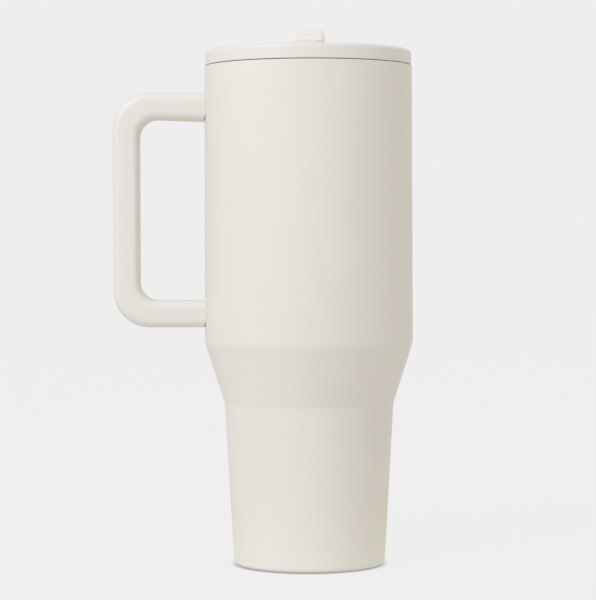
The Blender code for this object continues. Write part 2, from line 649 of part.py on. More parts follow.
def build_mouthpiece(plastic, rubber, lid):
    """The flip-up spout: hard bar and hub, bite valve over its end, and its vent plug."""
    hinge = bpy.data.objects.new("mouthpiece_hinge", None)
    bpy.context.collection.objects.link(hinge)
    hinge.parent = lid
    hinge.location = Vector((0, HINGE_Y, HINGE_Z)) * MM
    tip = TIP_Y - HINGE_Y
    neck = tip + VALVE_LENGTH
    valve = bar("bite_valve", ((TIP_HALF - 0.6, tip), (TIP_HALF, tip + 0.8), (TIP_HALF, neck)),
                rubber, hinge)
    cavity = prism("cutter_valve_cavity", slot_outline(*VALVE_CAVITY), "xz",
                   tip + VALVE_FRONT_T, neck + PASS, None, hinge)
    half_w, half_h = SLIT
    slit = box("cutter_slit", (-half_w, tip - PASS, CHANNEL_RISE - half_h),
               (half_w, tip + VALVE_FRONT_T + PASS / 2, CHANNEL_RISE + half_h), None, hinge)
    combine(valve, [cavity, slit], "DIFFERENCE")

    mouthpiece = bar("mouthpiece", ((TIP_HALF, neck + GAP), (TIP_HALF, -BAR_END),
                                    (HUB_HALF, -HUB_START), (HUB_HALF, -0.5)), plastic, hinge)
    joined = [
        rod("joiner_hub", HUB_R, -HUB_HALF, HUB_HALF, (0, 0), "yz", segments=32, parent=hinge),
        prism("joiner_nozzle", slot_outline(*NOZZLE), "xz", neck - NOZZLE_LENGTH, neck + PASS,
              None, hinge)]
    combine(mouthpiece, joined, "UNION")
    plug_y = VENT_Y - HINGE_Y
    under = MOUTH_TOP - MOUTH_T - HINGE_Z
    cuts = [
        prism("cutter_channel_drink", slot_outline(*CHANNEL), "xz", tip - PASS, HUB_R + PASS,
              None, hinge),
        rod("cutter_vent_seat", VENT_SEAT_R + GAP, under - PASS, under + VENT_SEAT_DEPTH,
            (0, plug_y), segments=16, parent=hinge)]
    for side in (-1, 1):
        ends = sorted((side * (PIN_SPAN[0] - GAP), side * (HUB_HALF + PASS)))
        cuts.append(rod("cutter_trunnion_%d" % (side + 1), PIN_R + PIN_CLEARANCE, ends[0],
                        ends[1], (0, 0), "yz", segments=16, parent=hinge))
    combine(mouthpiece, cuts, "DIFFERENCE")

    island = ISLAND_TOP - HINGE_Z
    nub_low = island - VENT_NUB_REACH
    disc_low = under - 0.05
    disc_top = under + VENT_SEAT_DEPTH - GAP
    nub = [(0, nub_low), (VENT_NUB_R * 0.75, nub_low), (VENT_NUB_R, nub_low + 0.3),
           (VENT_NUB_R, disc_low), (VENT_SEAT_R, disc_low), (VENT_SEAT_R, disc_top),
           (0, disc_top)]
    turned("vent_plug", nub, rubber, hinge, centre=(0, plug_y), segments=16, closed=False)


def build_hinge_and_seal(rubber, steel, lid):
    """Two stub pins that carry the mouthpiece, and the seal under its hub."""
    for side, name in ((-1, "left"), (1, "right")):
        ends = sorted((side * PIN_SPAN[0], side * PIN_SPAN[1]))
        rod("hinge_pin_" + name, PIN_R, ends[0], ends[1], (HINGE_Y, HINGE_Z), "yz",
            segments=16, material=steel, parent=lid)
    seat = LID_TOP - SEAL_SEAT_DEPTH + GAP
    hub_low = HINGE_Z - HUB_R - GAP
    ring = rounded([(PORT_R, seat, 0.0), (PORT_R + SEAL_T, seat, 0.0),
                    (PORT_R + SEAL_T, hub_low, 0.3), (PORT_R, hub_low, 0.3)])
    turned("port_seal", ring, rubber, lid, centre=(0, PORT_Y), segments=SMALL_ROUND)


# ---- assembly ---------------------------------------------------------------------------------
def clear_scene():
    for thing in list(bpy.data.objects):
        bpy.data.objects.remove(thing, do_unlink=True)


def build():
    clear_scene()
    coat = cream_coat()
    plastic = cream_plastic()
    steel = bare_steel()
    rubber = silicone()
    build_outer_shell(coat)
    build_inner_liner(steel)
    build_base(steel, rubber)
    build_handle_body(plastic)
    build_handle_cover(plastic)
    build_brackets(steel)
    lid = bpy.data.objects.new("lid_frame", None)
    bpy.context.collection.objects.link(lid)
    lid.rotation_euler = (0, 0, math.radians(LID_TURN))
    build_lid_cover(plastic, lid)
    build_lid_plug(plastic, rubber, lid)
    build_straw(straw_plastic(), rubber, lid)
    build_mouthpiece(plastic, rubber, lid)
    build_hinge_and_seal(rubber, steel, lid)


build()
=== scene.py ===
import json
import math

import bmesh
import bpy
from mathutils import Matrix, Vector


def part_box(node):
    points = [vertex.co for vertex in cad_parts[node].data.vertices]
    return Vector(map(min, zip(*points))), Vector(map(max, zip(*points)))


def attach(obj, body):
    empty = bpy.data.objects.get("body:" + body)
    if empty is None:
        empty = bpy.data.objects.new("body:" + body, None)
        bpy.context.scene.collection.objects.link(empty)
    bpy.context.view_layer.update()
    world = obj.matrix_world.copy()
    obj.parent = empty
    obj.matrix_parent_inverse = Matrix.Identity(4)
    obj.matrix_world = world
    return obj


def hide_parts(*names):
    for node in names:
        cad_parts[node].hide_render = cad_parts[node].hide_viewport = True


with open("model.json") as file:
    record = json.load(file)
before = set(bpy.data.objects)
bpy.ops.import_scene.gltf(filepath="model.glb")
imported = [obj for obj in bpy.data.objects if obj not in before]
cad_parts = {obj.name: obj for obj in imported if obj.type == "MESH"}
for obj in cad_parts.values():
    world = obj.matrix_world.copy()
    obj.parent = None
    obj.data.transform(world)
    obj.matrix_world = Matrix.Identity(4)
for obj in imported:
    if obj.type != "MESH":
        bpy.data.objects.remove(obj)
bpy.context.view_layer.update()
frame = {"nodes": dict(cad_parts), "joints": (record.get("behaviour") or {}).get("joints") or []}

MM = 0.001


# ---- sizes read from the frame ----------------------------------------------------------------
def points_of(node):
    return [vert.co / MM for vert in frame["nodes"][node].data.vertices]


def low_high(node):
    """Lowest and highest point of a node, in millimetres."""
    low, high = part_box(node)
    return low[2] / MM, high[2] / MM


def reach_of(node):
    """Largest distance of a node from the body's axis, in millimetres."""
    return max(math.hypot(point.x, point.y) for point in points_of(node))


def rim_radius(node):
    """Largest distance from the axis within the node's top millimetre."""
    top = low_high(node)[1]
    return max(math.hypot(point.x, point.y) for point in points_of(node) if point.z > top - 1)


def joint_named(name):
    return next(joint for joint in frame["joints"] if joint["name"] == name)


HINGE = joint_named("mouthpiece_flip")
HINGE_AXIS = Vector(HINGE["axis"])
LID_TURN = math.atan2(-HINGE_AXIS.y, -HINGE_AXIS.x)
LID_AXES = Matrix.Rotation(LID_TURN, 4, "Z")
HINGE_POINT = LID_AXES.inverted() @ (Vector(HINGE["pos_m"]) / MM)

# body and its pad
BODY_R = reach_of("outer_shell")
RIM_R = rim_radius("outer_shell")
FOOT_DROP = 0.35              # the foot's edge reaches this much closer to the floor
FOOT_Z, BODY_TOP = low_high("outer_shell")
FOOT_Z -= FOOT_DROP
SHOULDER_Z = 106.95
NECK_Z = 77.75
NECK_R = 40.6
FOOT_R = 36.2
SHOULDER_BEND = 11.0
NECK_BEND = 10.0
FOOT_BEND = 2.2
SHELL_T = 0.8
FOOT_RING_R = 31.3
FOOT_RING_TOP = 3.0
JACKET = 4.1                  # from the shell's outer face to the liner's inner face
LINER_T = 0.8
LINER_FLOOR_Z = low_high("inner_liner")[0] + LINER_T
LINER_BEND = 6.0
LIP_DEPTH = 1.2               # height of the liner's lip, just inside the shell's rim
LIP_R = reach_of("inner_liner")
PAD_R = reach_of("base_pad")
PAD_T = low_high("base_pad")[1]

# handle
HANDLE_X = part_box("handle_body")[0][0] / MM
HANDLE_BOTTOM, HANDLE_TOP = low_high("handle_body")
HANDLE_HALF_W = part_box("handle_body")[1][1] / MM
HANDLE_LIMB = 12.4
HANDLE_ARM = 12.8
HANDLE_OUTER_BEND = 17.5
HANDLE_INNER_BEND_TOP = 8.8
HANDLE_INNER_BEND_BOTTOM = 8.5
ARM_SAG = 0.8                 # the upper arm's underside is this much lower at the body
OUTER_EDGE = 4.0
INNER_EDGE_W = 3.4            # rounding round the inside of the loop, deeper along the arms
INNER_EDGE_LIMB = 2.6
INNER_EDGE_ARM = 4.1
CHANNEL_HALF = 5.5
CHANNEL_DEPTH = 7.5
COVER_T = 2.0
COVER_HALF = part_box("handle_cover")[1][1] / MM
ARM_GAP = 0.05
ARM_EASE = 0.68               # added to the gap at an arm's lower corners,
ARM_EASE_H = 4.2              # fading out over this height
ARM_EASE_Y = 5.0              # and towards the arm's middle within this distance

# lid
LID_R = reach_of("lid_cover")
LID_BOTTOM = low_high("lid_cover")[0]
LID_TOP = 246.8
LID_EDGE = 2.0
LID_DISH = 0.4
LID_PLATE_T = 2.4
LID_SKIRT_T = 2.2
PLUG_R = 44.4
PLUG_T = 2.0
PLUG_BOTTOM = 226.0
NIPPLE_BOTTOM = low_high("lid_plug")[0]
GASKET_LOW, GASKET_HIGH = low_high("lid_gasket")
GASKET_R = reach_of("lid_gasket")
GROOVE_DEPTH = 1.4
PORT_R = 2.8
VALVE_Y = 4.0

# mouthpiece, with the cradle it folds into
HUB_R = 5.0
HUB_HALF = 5.4
MOUTH_T = 5.55
MOUTH_EDGE = 3.5
MOUTH_LOW_EDGE = 0.3
TIP_HALF = 7.7
TIP_LEAN = 1.8                # the tip's face leans back this much over its height
TIP_WALL = 3.4                # soft wall behind the face, split by the slit
TIP = -1.0 - HINGE_POINT.y    # distances along the mouthpiece are from its hinge
VALVE_END = TIP + 11.7
CHANNEL_RISE = 2.4
PORT_Y = HINGE_POINT.y + CHANNEL_RISE
EAR_IN = 5.7
EAR_OUT = 7.1
EAR_R = 4.9
ISLAND_HALF = 7.9             # the island is the raised cradle
ISLAND_TOP = 251.69
ISLAND_FRONT = -3.2
ISLAND_BACK = 31.5
NOTCH_BACK = -1.0             # the notch cuts into the cradle's front end as far as this
NOTCH_DEPTH = 0.36
VENT_Y = 14.0
VENT_R = 1.0
PIN_BORE_R = 1.1

GAP = 0.3
FINE = 224                    # facets of the large turned pieces
MEDIUM = 96
SMALL = 48


# ---- outlines ---------------------------------------------------------------------------------
def rounded(corners, closed=True, step=9.0):
    """Polyline through (a, b, bend radius) corners, with a fine arc at each bend."""
    count = len(corners)
    points = []
    for index, (a, b, bend) in enumerate(corners):
        here = Vector((a, b))
        if bend <= 0.0 or (not closed and index in (0, count - 1)):
            points.append((a, b))
            continue
        before = (Vector(corners[index - 1][:2]) - here).normalized()
        after = (Vector(corners[(index + 1) % count][:2]) - here).normalized()
        half = before.angle(after) / 2
        reach = bend / math.tan(half)
        centre = here + (before + after).normalized() * (bend / math.sin(half))
        start = here + before * reach - centre
        sweep = start.angle_signed(here + after * reach - centre)
        steps = max(3, math.ceil(abs(sweep) / math.radians(step) - 0.001))
        for tick in range(steps + 1):
            spoke = start.copy()
            spoke.rotate(Matrix.Rotation(-sweep * tick / steps, 2))
            points.append(tuple(centre + spoke))
    return points


def arc(centre, radius, start, end, steps):
    points = []
    for step in range(steps + 1):
        angle = math.radians(start + (end - start) * step / steps)
        points.append((centre[0] + radius * math.cos(angle),
                       centre[1] + radius * math.sin(angle)))
    return points


# ---- solids -----------------------------------------------------------------------------------
def finish_piece(name, bm, axes=None):
    """A named object from a millimetre bmesh, smooth but for its real edges."""
    bmesh.ops.remove_doubles(bm, verts=bm.verts, dist=1e-4)
    bmesh.ops.recalc_face_normals(bm, faces=bm.faces)
    if axes:
        bm.transform(axes)
    bm.transform(Matrix.Scale(MM, 4))
    mesh = bpy.data.meshes.new(name)
    bm.to_mesh(mesh)
    bm.free()
    piece = bpy.data.objects.new(name, mesh)
    bpy.context.collection.objects.link(piece)
    smooth(piece)
    return piece


def smooth(piece, angle=32):
    piece.data.shade_smooth()
    piece.data.set_sharp_from_angle(angle=math.radians(angle))


def lathe(name, outline, centre=(0, 0), segments=FINE, closed=True, axes=None):
    """Spin an (r, z) outline about the vertical through centre."""
    bm = bmesh.new()
    verts = [bm.verts.new((r, 0, z)) for r, z in outline]
    pairs = list(zip(verts, verts[1:]))
    if closed:
        pairs.append((verts[-1], verts[0]))
    edges = [bm.edges.new(pair) for pair in pairs]
    bmesh.ops.spin(bm, geom=verts + edges, cent=(0, 0, 0), axis=(0, 0, 1), angle=2 * math.pi,
                   steps=segments, use_merge=True)
    bmesh.ops.remove_doubles(bm, verts=bm.verts, dist=1e-4)
    bm.transform(Matrix.Translation((centre[0], centre[1], 0)))
    return finish_piece(name, bm, axes)


def loft(name, loops, axes=None):
    """A closed solid through loops of equal point counts, capped at both ends."""
    bm = bmesh.new()
    rings = [[bm.verts.new(point) for point in loop] for loop in loops]
    count = len(rings[0])
    for near, far in zip(rings, rings[1:]):
        for i in range(count):
            j = (i + 1) % count
            bm.faces.new((near[i], near[j], far[j], far[i]))
    bm.faces.new(rings[0])
    bm.faces.new(rings[-1])
    return finish_piece(name, bm, axes)


def prism(name, outline, plane, low, high, axes=None):
    """An outline in the 'xy', 'xz' or 'yz' plane, extruded from low to high."""
    place = {"xy": lambda a, b, c: (a, b, c), "xz": lambda a, b, c: (a, c, b),
             "yz": lambda a, b, c: (c, a, b)}[plane]
    return loft(name, [[place(a, b, c) for a, b in outline] for c in (low, high)], axes)


def rod(name, radius, low, high, centre, plane="xy", segments=SMALL, axes=None):
    return prism(name, arc(centre, radius, 0, 360, segments)[:-1], plane, low, high, axes)


def combine(target, tools, operation):
    """Join tools to the target, or cut them out of it, and remove them."""
    for tool in tools:
        step = target.modifiers.new("step", "BOOLEAN")
        step.operation = operation
        step.solver = "EXACT"
        step.object = tool
    graph = bpy.context.evaluated_depsgraph_get()
    result = bpy.data.meshes.new_from_object(target.evaluated_get(graph))
    target.modifiers.clear()
    target.data = result
    for tool in tools:
        bpy.data.objects.remove(tool, do_unlink=True)
    smooth(target)


def place(piece, body, material, slot, *nodes):
    """Give a finished piece its material, its body and the frame nodes it stands for."""
    piece.data.materials.clear()
    piece.data.materials.append(material)
    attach(piece, body)
    if nodes:
        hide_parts(*nodes)


# ---- materials --------------------------------------------------------------------------------
class Finish:
    """A surface material with helpers for noise-driven colour, roughness and bump."""

    def __init__(self, name, colour, roughness, metallic=0.0):
        self.material = bpy.data.materials.new(name)
        self.material.use_nodes = True
        self.tree = self.material.node_tree
        self.shader = self.tree.nodes["Principled BSDF"]
        self.colour = colour
        self.shader.inputs["Base Color"].default_value = (*colour, 1.0)
        self.shader.inputs["Roughness"].default_value = roughness
        self.shader.inputs["Metallic"].default_value = metallic
        self.coordinates = self.tree.nodes.new("ShaderNodeTexCoord").outputs["Object"]

    def node(self, kind, **settings):
        made = self.tree.nodes.new(kind)
        for key, value in settings.items():
            setattr(made, key, value)
        return made

    def link(self, source, target):
        self.tree.links.new(source, target)

    def noise(self, scale, detail=2.0, vector=None):
        """Noise with about one cell per metre divided by scale."""
        made = self.node("ShaderNodeTexNoise")
        made.inputs["Scale"].default_value = scale
        made.inputs["Detail"].default_value = detail
        self.link(vector or self.coordinates, made.inputs["Vector"])
        return made.outputs["Fac"]

    def mapped(self, source, low, high, from_low=0.3, from_high=0.7):
        made = self.node("ShaderNodeMapRange")
        made.inputs["From Min"].default_value = from_low
        made.inputs["From Max"].default_value = from_high
        made.inputs["To Min"].default_value = low
        made.inputs["To Max"].default_value = high
        self.link(source, made.inputs["Value"])
        return made.outputs["Result"]

    def tint(self, source, darker, lighter):
        """Base colour that drifts between two strengths of itself."""
        made = self.node("ShaderNodeMix", data_type="RGBA")
        made.inputs["A"].default_value = (*[c * darker for c in self.colour], 1.0)
        made.inputs["B"].default_value = (*[min(1.0, c * lighter) for c in self.colour], 1.0)
        self.link(source, made.inputs["Factor"])
        self.link(made.outputs["Result"], self.shader.inputs["Base Color"])

    def bump(self, source, strength, depth, before=None):
        made = self.node("ShaderNodeBump")
        made.inputs["Strength"].default_value = strength
        made.inputs["Distance"].default_value = depth
        self.link(source, made.inputs["Height"])
        if before:
            self.link(before, made.inputs["Normal"])
        self.link(made.outputs["Normal"], self.shader.inputs["Normal"])
        return made.outputs["Normal"]


def powder_coat():
    """Cream powder coat: orange-peel swell under a fine dry grain."""
    finish = Finish("powder_coat", CREAM_COAT, 0.58)
    cloud = finish.noise(22.0, 3.0)
    grain = finish.noise(2600.0, 2.0)
    peel = finish.noise(620.0, 1.0)
    finish.tint(finish.mapped(cloud, 0.0, 1.0), 0.985, 1.010)
    finish.link(finish.mapped(grain, 0.50, 0.66), finish.shader.inputs["Roughness"])
    swell = finish.bump(peel, 0.35, 0.00006)
    finish.bump(grain, 0.45, 0.00003, swell)
    finish.shader.inputs["Specular IOR Level"].default_value = 0.38
    return finish.material


def moulded_plastic(name, colour, roughness=0.42, grain_size=3400.0):
    """Polypropylene from a lightly spark-eroded mould."""
    finish = Finish(name, colour, roughness)
    cloud = finish.noise(30.0, 2.0)
    grain = finish.noise(grain_size, 2.0)
    flow = finish.noise(160.0, 2.0)
    finish.tint(finish.mapped(cloud, 0.0, 1.0), 0.988, 1.008)
    finish.link(finish.mapped(flow, roughness - 0.05, roughness + 0.05),
                finish.shader.inputs["Roughness"])
    finish.bump(grain, 0.30, 0.00002)
    finish.shader.inputs["Specular IOR Level"].default_value = 0.42
    return finish.material


def spun_steel(name, colour, roughness=0.38):
    """Bare stainless steel, brushed round the axis, with faint heat and polish drift."""
    finish = Finish(name, colour, roughness, 1.0)
    split = finish.node("ShaderNodeSeparateXYZ")
    finish.link(finish.coordinates, split.inputs["Vector"])
    flat = finish.node("ShaderNodeCombineXYZ")
    finish.link(split.outputs["X"], flat.inputs["X"])
    finish.link(split.outputs["Y"], flat.inputs["Y"])
    radius = finish.node("ShaderNodeVectorMath", operation="LENGTH")
    finish.link(flat.outputs["Vector"], radius.inputs[0])
    rings = finish.node("ShaderNodeCombineXYZ")
    finish.link(radius.outputs["Value"], rings.inputs["X"])
    finish.link(split.outputs["Z"], rings.inputs["Y"])
    lines = finish.noise(2400.0, 2.0, rings.outputs["Vector"])
    cloud = finish.noise(40.0, 2.0)
    finish.tint(finish.mapped(cloud, 0.0, 1.0), 0.95, 1.02)
    finish.link(finish.mapped(lines, roughness - 0.06, roughness + 0.08),
                finish.shader.inputs["Roughness"])
    finish.bump(lines, 0.16, 0.00001)
    return finish.material


def soft_silicone(name, colour):
    """Matte silicone with a dusty sheen."""
    finish = Finish(name, colour, 0.62)
    grain = finish.noise(2200.0, 2.0)
    cloud = finish.noise(90.0, 2.0)
    finish.tint(finish.mapped(cloud, 0.0, 1.0), 0.97, 1.01)
    finish.link(finish.mapped(grain, 0.56, 0.70), finish.shader.inputs["Roughness"])
    finish.bump(grain, 0.20, 0.00002)
    finish.shader.inputs["Sheen Weight"].default_value = 0.15
    return finish.material


def grainy(name, colour, roughness, metallic):
    """Rough fused or sintered matter for the small pieces inside the jacket."""
    finish = Finish(name, colour, roughness, metallic)
    lumps = finish.noise(1800.0, 4.0)
    finish.tint(finish.mapped(lumps, 0.0, 1.0), 0.75, 1.15)
    finish.bump(lumps, 0.6, 0.0001)
    return finish.material


CREAM_COAT = (0.800, 0.765, 0.705)
CREAM_PLASTIC = (0.797, 0.765, 0.715)
COAT = powder_coat()
PLASTIC = moulded_plastic("cream_plastic", CREAM_PLASTIC)
STEEL = spun_steel("steel", (0.77, 0.76, 0.745))
SILICONE = soft_silicone("silicone", (0.74, 0.71, 0.65))
BITE_SILICONE = soft_silicone("bite_silicone", (0.835, 0.802, 0.745))
STRAW_PLASTIC = moulded_plastic("straw_plastic", (0.86, 0.85, 0.82), 0.30, 900.0)
SEAL_BEAD = grainy("seal_bead", (0.35, 0.33, 0.31), 0.35, 0.4)
GETTER = grainy("getter", (0.30, 0.30, 0.31), 0.6, 0.6)


# ---- steel body -------------------------------------------------------------------------------
def wall_line(inset, foot_z, top_z, shoulder_bend, neck_bend):
    """Corners of the body's side, moved inwards, from the foot up to the rim."""
    foot_r = FOOT_R + (NECK_R - FOOT_R) * foot_z / NECK_Z
    return [(foot_r - inset, foot_z), (NECK_R - inset, NECK_Z, neck_bend),
            (BODY_R - inset, SHOULDER_Z, shoulder_bend), (RIM_R - inset, top_z)]


def make_shell():
    foot, neck, shoulder, rim = wall_line(0, FOOT_Z, BODY_TOP, SHOULDER_BEND, NECK_BEND)
    in_foot, in_neck, in_shoulder, in_rim = wall_line(
        SHELL_T, FOOT_Z + SHELL_T, BODY_TOP, SHOULDER_BEND + SHELL_T, NECK_BEND - SHELL_T)
    corners = [
        (FOOT_RING_R, FOOT_Z, 0.6), (*foot, FOOT_BEND), neck, shoulder, (*rim, 0.35),
        (*in_rim, 0.2), in_shoulder, in_neck, (*in_foot, FOOT_BEND - SHELL_T),
        (FOOT_RING_R + SHELL_T, FOOT_Z + SHELL_T, 0.2), (FOOT_RING_R + SHELL_T, FOOT_RING_TOP, 0.2),
        (FOOT_RING_R, FOOT_RING_TOP, 0.2)]
    place(lathe("shell_coat", rounded(corners, step=3.0)), "body", COAT, "powder_coat",
          "outer_shell")


def make_liner():
    foot, neck, shoulder, rim = wall_line(
        JACKET, LINER_FLOOR_Z, BODY_TOP, SHOULDER_BEND, NECK_BEND)
    out_foot, out_neck, out_shoulder, out_rim = wall_line(
        JACKET - LINER_T, LINER_FLOOR_Z - LINER_T, BODY_TOP - LIP_DEPTH, SHOULDER_BEND, NECK_BEND)
    corners = [
        (0, LINER_FLOOR_Z - LINER_T, 0.0), (*out_foot, LINER_BEND + LINER_T), out_neck,
        out_shoulder, (*out_rim, 0.8), (LIP_R, BODY_TOP - LIP_DEPTH, 0.2), (LIP_R, BODY_TOP, 0.3),
        (*rim, 0.6), shoulder, neck, (*foot, LINER_BEND), (0, LINER_FLOOR_Z, 0.0)]
    place(lathe("steel_liner", rounded(corners, closed=False, step=6.0), closed=False), "body",
          STEEL, "steel", "inner_liner")


def make_pad():
    """Resting pad with shallow grip grooves round its underside."""
    groove_w = 1.2
    groove_h = 0.35
    bend = 0.12
    corners = [(0, 0, 0.0)]
    for groove_r in (12.0, 16.0, 20.0, 24.0):
        corners += [(groove_r, 0, bend), (groove_r, groove_h, bend),
                    (groove_r + groove_w, groove_h, bend), (groove_r + groove_w, 0, bend)]
    corners += [(PAD_R, 0, 0.5), (PAD_R, PAD_T, 0.3), (0, PAD_T, 0.0)]
    place(lathe("grip_pad", rounded(corners, closed=False, step=20.0), closed=False,
                segments=MEDIUM), "body", SILICONE, "silicone", "base_pad")


# ---- handle -----------------------------------------------------------------------------------
def handle_path(depth, end_x):
    """Points of the C, depth millimetres outside its inner face, arm to arm."""
    x = HANDLE_X + HANDLE_LIMB - depth
    top = HANDLE_TOP - HANDLE_ARM + depth
    bottom = HANDLE_BOTTOM + HANDLE_ARM - depth
    return path_with_bends(end_x, x, top, bottom, HANDLE_INNER_BEND_TOP + depth,
                           HANDLE_INNER_BEND_BOTTOM + depth, ARM_SAG)


def outer_path(end_x):
    """Points of the C's outer face, paired with those of its inner face."""
    return path_with_bends(end_x, HANDLE_X, HANDLE_TOP, HANDLE_BOTTOM, HANDLE_OUTER_BEND,
                           HANDLE_OUTER_BEND, 0.0)


def path_with_bends(end_x, x, top, bottom, bend_top, bend_bottom, sag):
    """Upper arm, bend, limb, bend and lower arm, with the same count of points for any size."""
    points = []
    straight = 6
    steps = 14
    start = x + bend_top
    for tick in range(straight):
        share = tick / straight
        points.append((end_x + (start - end_x) * share, top - sag * (1 - share)))
    points += arc((start, top - bend_top), bend_top, 90, 180, steps)
    for tick in range(1, 2 * straight):
        share = tick / (2 * straight)
        points.append((x, (top - bend_top) * (1 - share) + (bottom + bend_bottom) * share))
    points += arc((x + bend_bottom, bottom + bend_bottom), bend_bottom, 180, 270, steps)
    for tick in range(1, straight + 1):
        share = tick / straight
        points.append((x + bend_bottom + (end_x - x - bend_bottom) * share, bottom))
    return points


def section_loops(inner, outer, outline_of):
    """Place a section outline, given as (distance from the inner face, y), along the C.

    The outline may depend on the thickness there and on how level the C runs, from 0 to 1.
    """
    loops = []
    for near, far in zip(inner, outer):
        near = Vector(near)
        across = Vector(far) - near
        thickness = across.length
        across.normalize()
        loops.append([(near.x + across.x * u, y, near.y + across.y * u)
                      for u, y in outline_of(thickness, abs(across.y))])
    return loops


def wrap_on_body(loop, ease=0.0):
    """Move a loop's points along X onto the upper wall, eased off it at the lower corners."""
    low = min(z for x, y, z in loop)
    wrapped = []
    for x, y, z in loop:
        share = (z - SHOULDER_Z) / (BODY_TOP - SHOULDER_Z)
        under = max(0.0, 1 - (z - low) / ARM_EASE_H) ** 2
        gap = ARM_GAP + ease * under * min(1.0, abs(y) / ARM_EASE_Y)
        radius = BODY_R + (RIM_R - BODY_R) * share + gap
        wrapped.append((-math.sqrt(radius ** 2 - y ** 2), y, z))
    return wrapped


def make_handle():
    """The C with its channel, and the strip that closes the channel."""
    end_x = -BODY_R - 1.5
    half = HANDLE_HALF_W
    lip_bend = 0.25
    floor_bend = 0.5

    def with_channel(thickness, level):
        depth = INNER_EDGE_LIMB + (INNER_EDGE_ARM - INNER_EDGE_LIMB) * level
        elbow = [(depth * (1 - math.cos(turn)), half - INNER_EDGE_W * (1 - math.sin(turn)), 0.0)
                 for turn in (math.radians(10 * tick) for tick in range(10))]
        lower = [(x, -y, bend) for x, y, bend in elbow]
        face = [(thickness, -half, OUTER_EDGE), (thickness, 0, 0.0), (thickness, half, OUTER_EDGE)]
        channel = [(0, CHANNEL_HALF, lip_bend), (CHANNEL_DEPTH, CHANNEL_HALF, floor_bend),
                   (CHANNEL_DEPTH, -CHANNEL_HALF, floor_bend)]
        return rounded([(0, -CHANNEL_HALF, lip_bend)] + lower + face + elbow[::-1] + channel,
                       step=11.0)

    loops = section_loops(handle_path(0.0, end_x), outer_path(end_x), with_channel)
    loops = ([wrap_on_body(loops[0], ARM_EASE)] + loops
             + [wrap_on_body(loops[-1], ARM_EASE)])
    handle = loft("handle_loop", loops)
    combine(handle, bracket_room(), "DIFFERENCE")
    place(handle, "body", PLASTIC, "cream_plastic", "handle_body")

    def strip(thickness, level):
        sunk = 0.05
        return rounded([(sunk, -COVER_HALF, lip_bend), (COVER_T, -COVER_HALF, 0.1),
                        (COVER_T, COVER_HALF, 0.1), (sunk, COVER_HALF, lip_bend)], step=30.0)

    loops = section_loops(handle_path(0.0, end_x), handle_path(COVER_T, end_x), strip)
    loops = [wrap_on_body(loops[0])] + loops + [wrap_on_body(loops[-1])]
    place(loft("palm_strip", loops), "body", PLASTIC, "cream_plastic", "handle_cover")


def bracket_room():
    """Room in the arms for the bracket plates and the screw ends."""
    room = []
    outer_x = -BODY_R - 2.5
    inner_x = -BODY_R + 5
    for name in ("bracket_upper", "bracket_lower"):
        low, high = (Vector(corner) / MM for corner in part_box(name))
        outline = [(outer_x, low.z - GAP), (inner_x, low.z - GAP),
                   (inner_x, high.z + GAP), (outer_x, high.z + GAP)]
        room.append(prism("room", outline, "xz", low.y - GAP, high.y + GAP))
    for name in frame["nodes"]:
        if name.startswith("handle_screw"):
            low, high = (Vector(corner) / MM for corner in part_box(name))
            middle = (low + high) / 2
            room.append(rod("room", 1.8, low.z, high.z, (middle.x, middle.y), segments=16))
    return room


# ---- lid --------------------------------------------------------------------------------------
def cradle_plan(inset):
    """Plan of the cradle, shrunk by inset; a negative inset spreads it."""
    half = ISLAND_HALF - inset
    front = ISLAND_FRONT + inset
    back = ISLAND_BACK - inset
    front_bend = max(0.3, 2.2 - inset)
    back_bend = max(0.3, 6.8 - inset)
    return rounded([(-half, front, front_bend), (half, front, front_bend),
                    (half, back, back_bend), (-half, back, back_bend)])


def cradle_levels(floor):
    """Heights of the cradle with its inset at each: flared foot, upright side, soft edge."""
    top_bend = 0.3
    foot_bend = 0.8
    foot = floor - 0.05
    ticks = 5
    levels = [(floor - 0.8, -foot_bend), (foot, -foot_bend)]
    for tick in range(1, ticks + 1):
        angle = math.radians(90 * tick / ticks)
        levels.append((foot + foot_bend * (1 - math.cos(angle)),
                       -foot_bend * (1 - math.sin(angle))))
    for tick in range(ticks + 1):
        angle = math.radians(90 * tick / ticks)
        levels.append((ISLAND_TOP - top_bend * (1 - math.sin(angle)),
                       top_bend * (1 - math.cos(angle))))
    return levels


def make_ears(floor):
    """Two lugs that hold the hinge pins, rounded at their outer edge."""
    bend = 1.0
    ticks = 5
    root = floor - 0.6
    profile = [(EAR_IN - 0.5, 0.0)]
    for tick in range(ticks + 1):
        angle = math.radians(90 * tick / ticks)
        profile.append((EAR_OUT - bend * (1 - math.sin(angle)), bend * (1 - math.cos(angle))))
    ears = []
    for side in (-1, 1):
        rings = []
        for x, inset in profile:
            radius = EAR_R - inset
            outline = [(HINGE_POINT.y - radius, root)]
            outline += arc((HINGE_POINT.y, HINGE_POINT.z), radius, 180, 0, 32)
            outline += [(HINGE_POINT.y + radius, root)]
            rings.append([(side * x, y, z) for y, z in outline])
        ears.append(loft("ear", rings, LID_AXES))
    return ears


